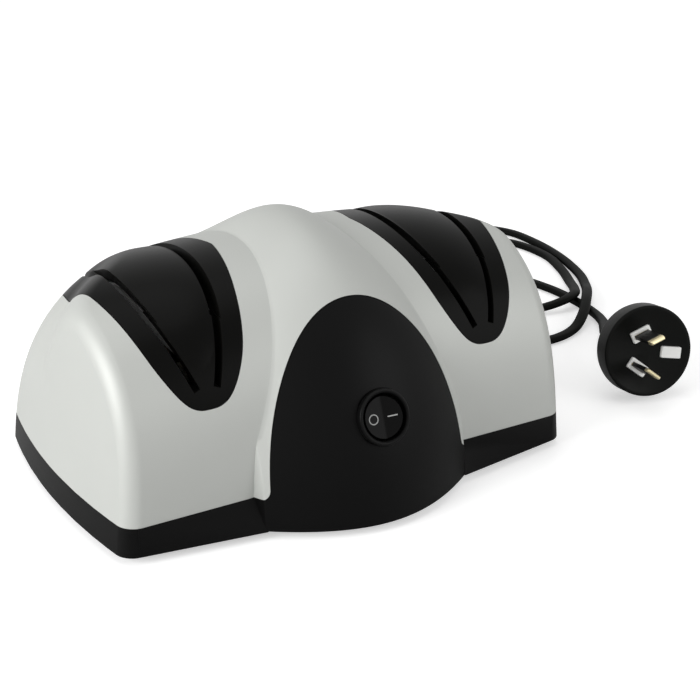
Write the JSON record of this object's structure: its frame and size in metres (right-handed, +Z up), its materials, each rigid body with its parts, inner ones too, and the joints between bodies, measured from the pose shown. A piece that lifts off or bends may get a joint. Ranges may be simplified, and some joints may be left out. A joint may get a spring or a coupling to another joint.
{
  "type": "electric knife sharpener",
  "caption": "Two-stage electric knife sharpener: silver arched cover, black base and nose, four leaning blade slots, round rocker switch, lead with pin plug.",
  "frame": {"origin": "on the table, under the middle of the body without its lead", "axes": "+X along the body to the fine stage, +Y from the switch to the back, +Z up"},
  "size_m": [0.3227, 0.2629, 0.0954],
  "materials": {
    "silver_shell": "satin silver paint on plastic",
    "black_shell": "fine satin black",
    "black_insert": "semi-gloss black",
    "black_rubber": "soft matt black",
    "cord_pvc": "satin black flexible sheath",
    "plug_pvc": "satin black moulded",
    "white_plastic": "plain moulded",
    "nylon": "natural moulded",
    "steel": "bright turned",
    "lamination": "stacked sheets, dark",
    "cast_alloy": "die cast, dull",
    "bronze": "sintered, oiled",
    "brass": "drawn, bright",
    "copper_wire": "enamelled wire under tape",
    "coarse_ceramic": "opaque coarse grit, matt",
    "fine_ceramic": "opaque fine grit, matt"
  },
  "bodies": {
    "housing": {"cover": "silver_shell", "base": "black_shell", "insert_coarse": "black_insert", "insert_fine": "black_insert", "stator": "lamination", "bobbin": "nylon", "winding": "copper_wire", "switch_body": "black_shell", "strain_relief": "black_rubber", "power_cord": "cord_pvc", "plug_body": "plug_pvc", "pin_carrier": "white_plastic", "plug_pin_live": "brass", "plug_pin_neutral": "brass", "end_bracket_left": "cast_alloy", "bush_left": "bronze", "terminal_left": "brass", "foot_left_front": "black_rubber", "case_screw_left_front": "steel", "bracket_screw_left_front": "steel", "foot_left_back": "black_rubber", "case_screw_left_back": "steel", "bracket_screw_left_back": "steel", "end_bracket_right": "cast_alloy", "bush_right": "bronze", "terminal_right": "brass", "foot_right_front": "black_rubber", "case_screw_right_front": "steel", "bracket_screw_right_front": "steel", "foot_right_back": "black_rubber", "case_screw_right_back": "steel", "bracket_screw_right_back": "steel", "motor_bolt_front": "steel", "motor_nut_front": "steel", "motor_bolt_back": "steel", "motor_nut_back": "steel"},
    "spindle": {"rotor": "lamination", "shaft": "steel", "wheel_coarse": "coarse_ceramic", "wheel_fine": "fine_ceramic", "shaft_spacer_left": "nylon", "shaft_spacer_right": "nylon", "wheel_hub_left": "nylon", "wheel_hub_right": "nylon", "shaft_clip_left": "steel", "shaft_clip_right": "steel"},
    "rocker": {"rocker": "black_insert"}
  },
  "joints": [
    {"name": "spindle_spin", "type": "hinge", "parent": "housing", "child": "spindle", "pos_m": [0, 0.00925, 0.039], "axis": [1, 0, 0], "continuous": true},
    {"name": "rocker_tilt", "type": "hinge", "parent": "housing", "child": "rocker", "pos_m": [0, -0.06072, 0.0396], "axis": [0, 0.363, 0.9318], "range_deg": [0, 20]}
  ]
}
